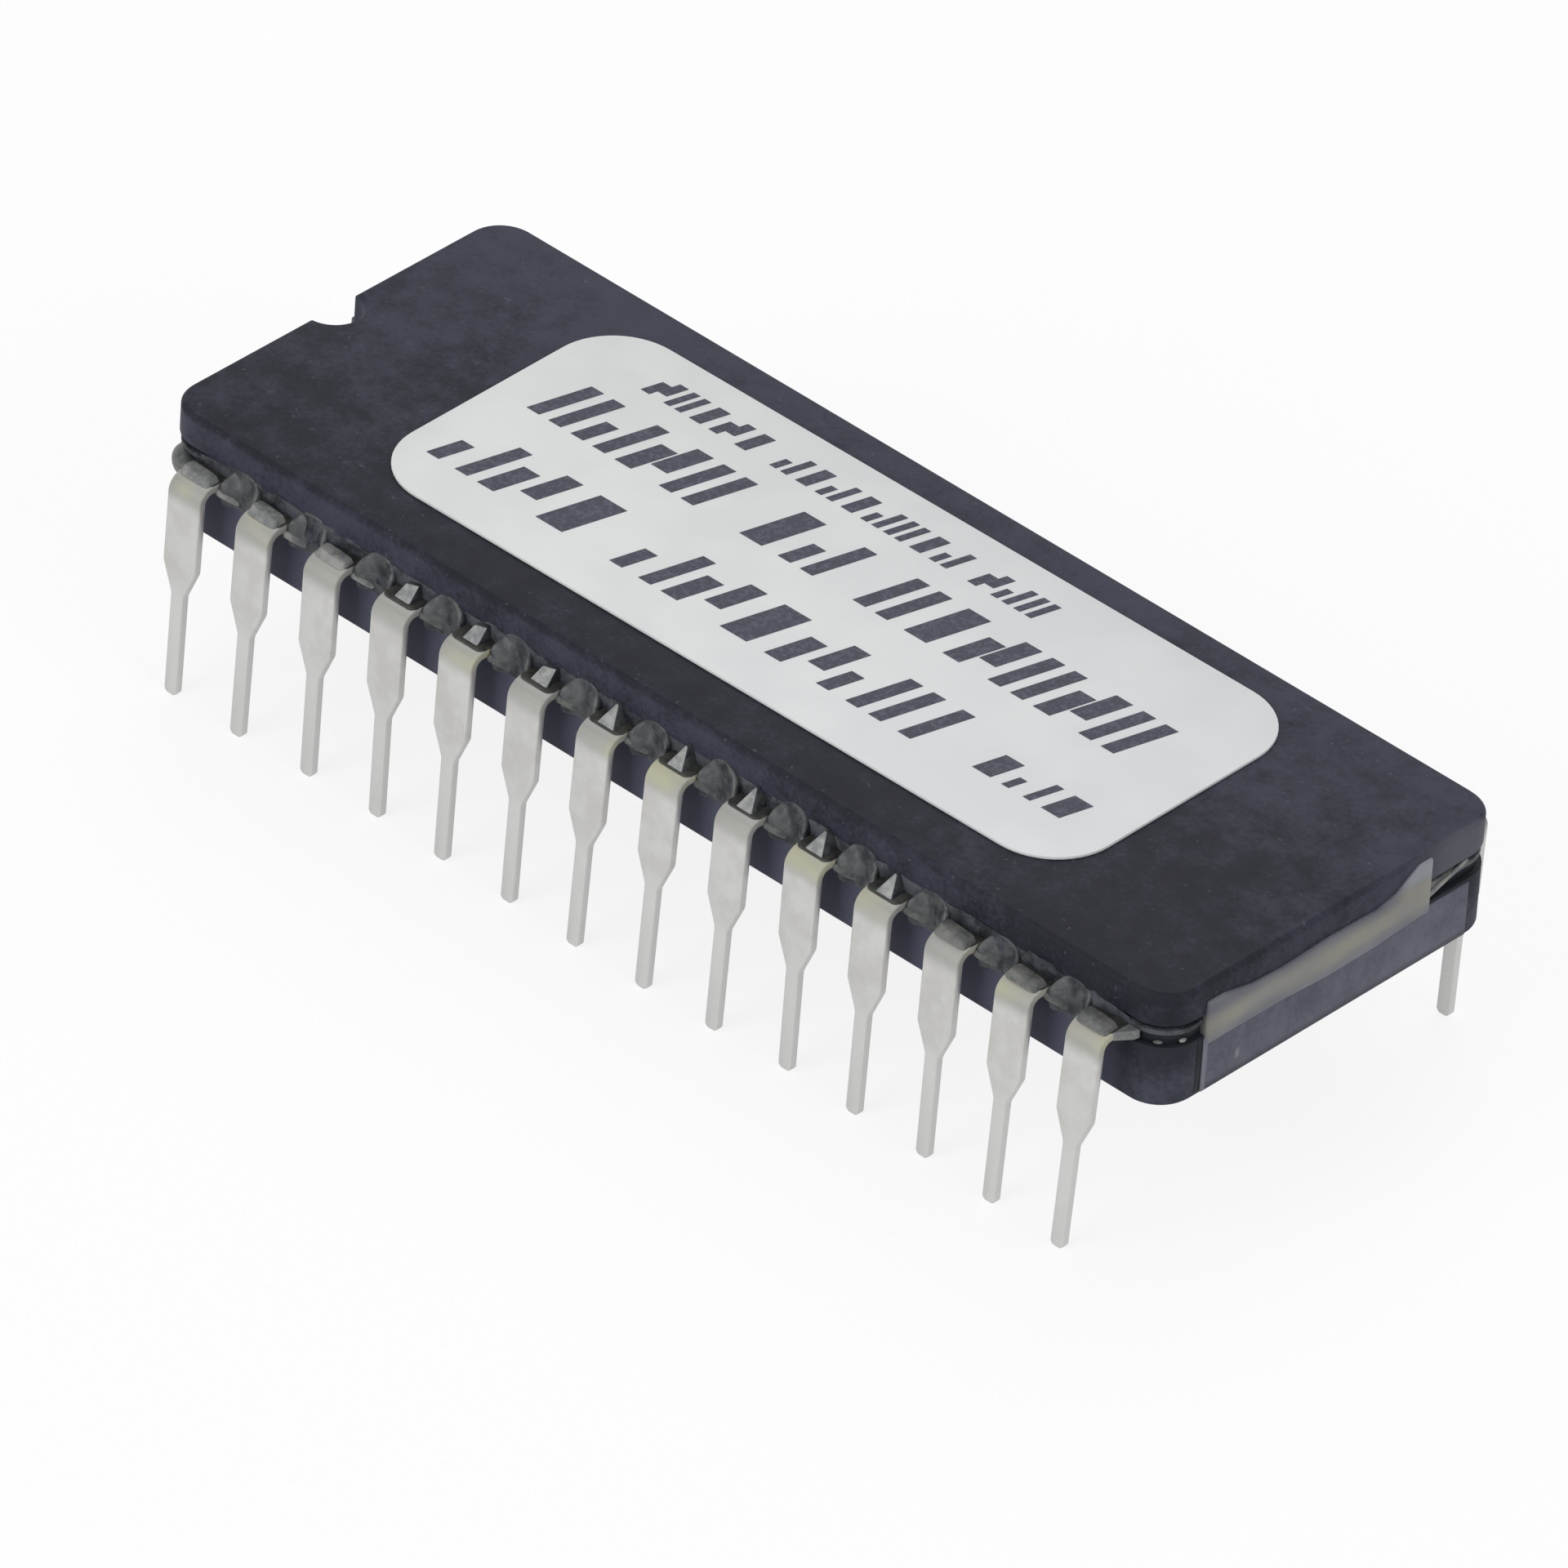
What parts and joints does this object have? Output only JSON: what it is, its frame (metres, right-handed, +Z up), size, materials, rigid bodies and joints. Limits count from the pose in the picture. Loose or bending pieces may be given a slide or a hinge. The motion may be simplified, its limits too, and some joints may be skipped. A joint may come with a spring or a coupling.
{
  "type": "windowed ceramic dual-in-line memory chip",
  "caption": "Dark ceramic dual-in-line chip with two rows of formed leads, a window under a paper label, glass seam and an orientation notch in one end.",
  "frame": {"origin": "middle of the chip in plan, on the plane that the lead tips stand on", "axes": "+X along the package away from the notched end, +Y across to the far lead row, +Z up to the labelled lid"},
  "size_m": [0.0372, 0.0156, 0.0083],
  "materials": {
    "ceramic": "matte",
    "window": "gloss",
    "seal_glass": "gloss",
    "silicon": "polished",
    "attach": "satin",
    "bond_wire": "satin",
    "label_paper": "matte",
    "tinned_lead": "satin"
  },
  "bodies": {
    "root": {"ceramic_base": "ceramic", "ceramic_lid": "ceramic", "window_glass": "window", "seal_glass": "seal_glass", "silicon_die": "silicon", "die_attach": "attach", "bond_wires": "bond_wire", "paper_label": "label_paper", "lead_01": "tinned_lead", "lead_02": "tinned_lead", "lead_03": "tinned_lead", "lead_04": "tinned_lead", "lead_05": "tinned_lead", "lead_06": "tinned_lead", "lead_07": "tinned_lead", "lead_08": "tinned_lead", "lead_09": "tinned_lead", "lead_10": "tinned_lead", "lead_11": "tinned_lead", "lead_12": "tinned_lead", "lead_13": "tinned_lead", "lead_14": "tinned_lead", "lead_15": "tinned_lead", "lead_16": "tinned_lead", "lead_17": "tinned_lead", "lead_18": "tinned_lead", "lead_19": "tinned_lead", "lead_20": "tinned_lead", "lead_21": "tinned_lead", "lead_22": "tinned_lead", "lead_23": "tinned_lead", "lead_24": "tinned_lead", "lead_25": "tinned_lead", "lead_26": "tinned_lead", "lead_27": "tinned_lead", "lead_28": "tinned_lead"}
  },
  "joints": []
}
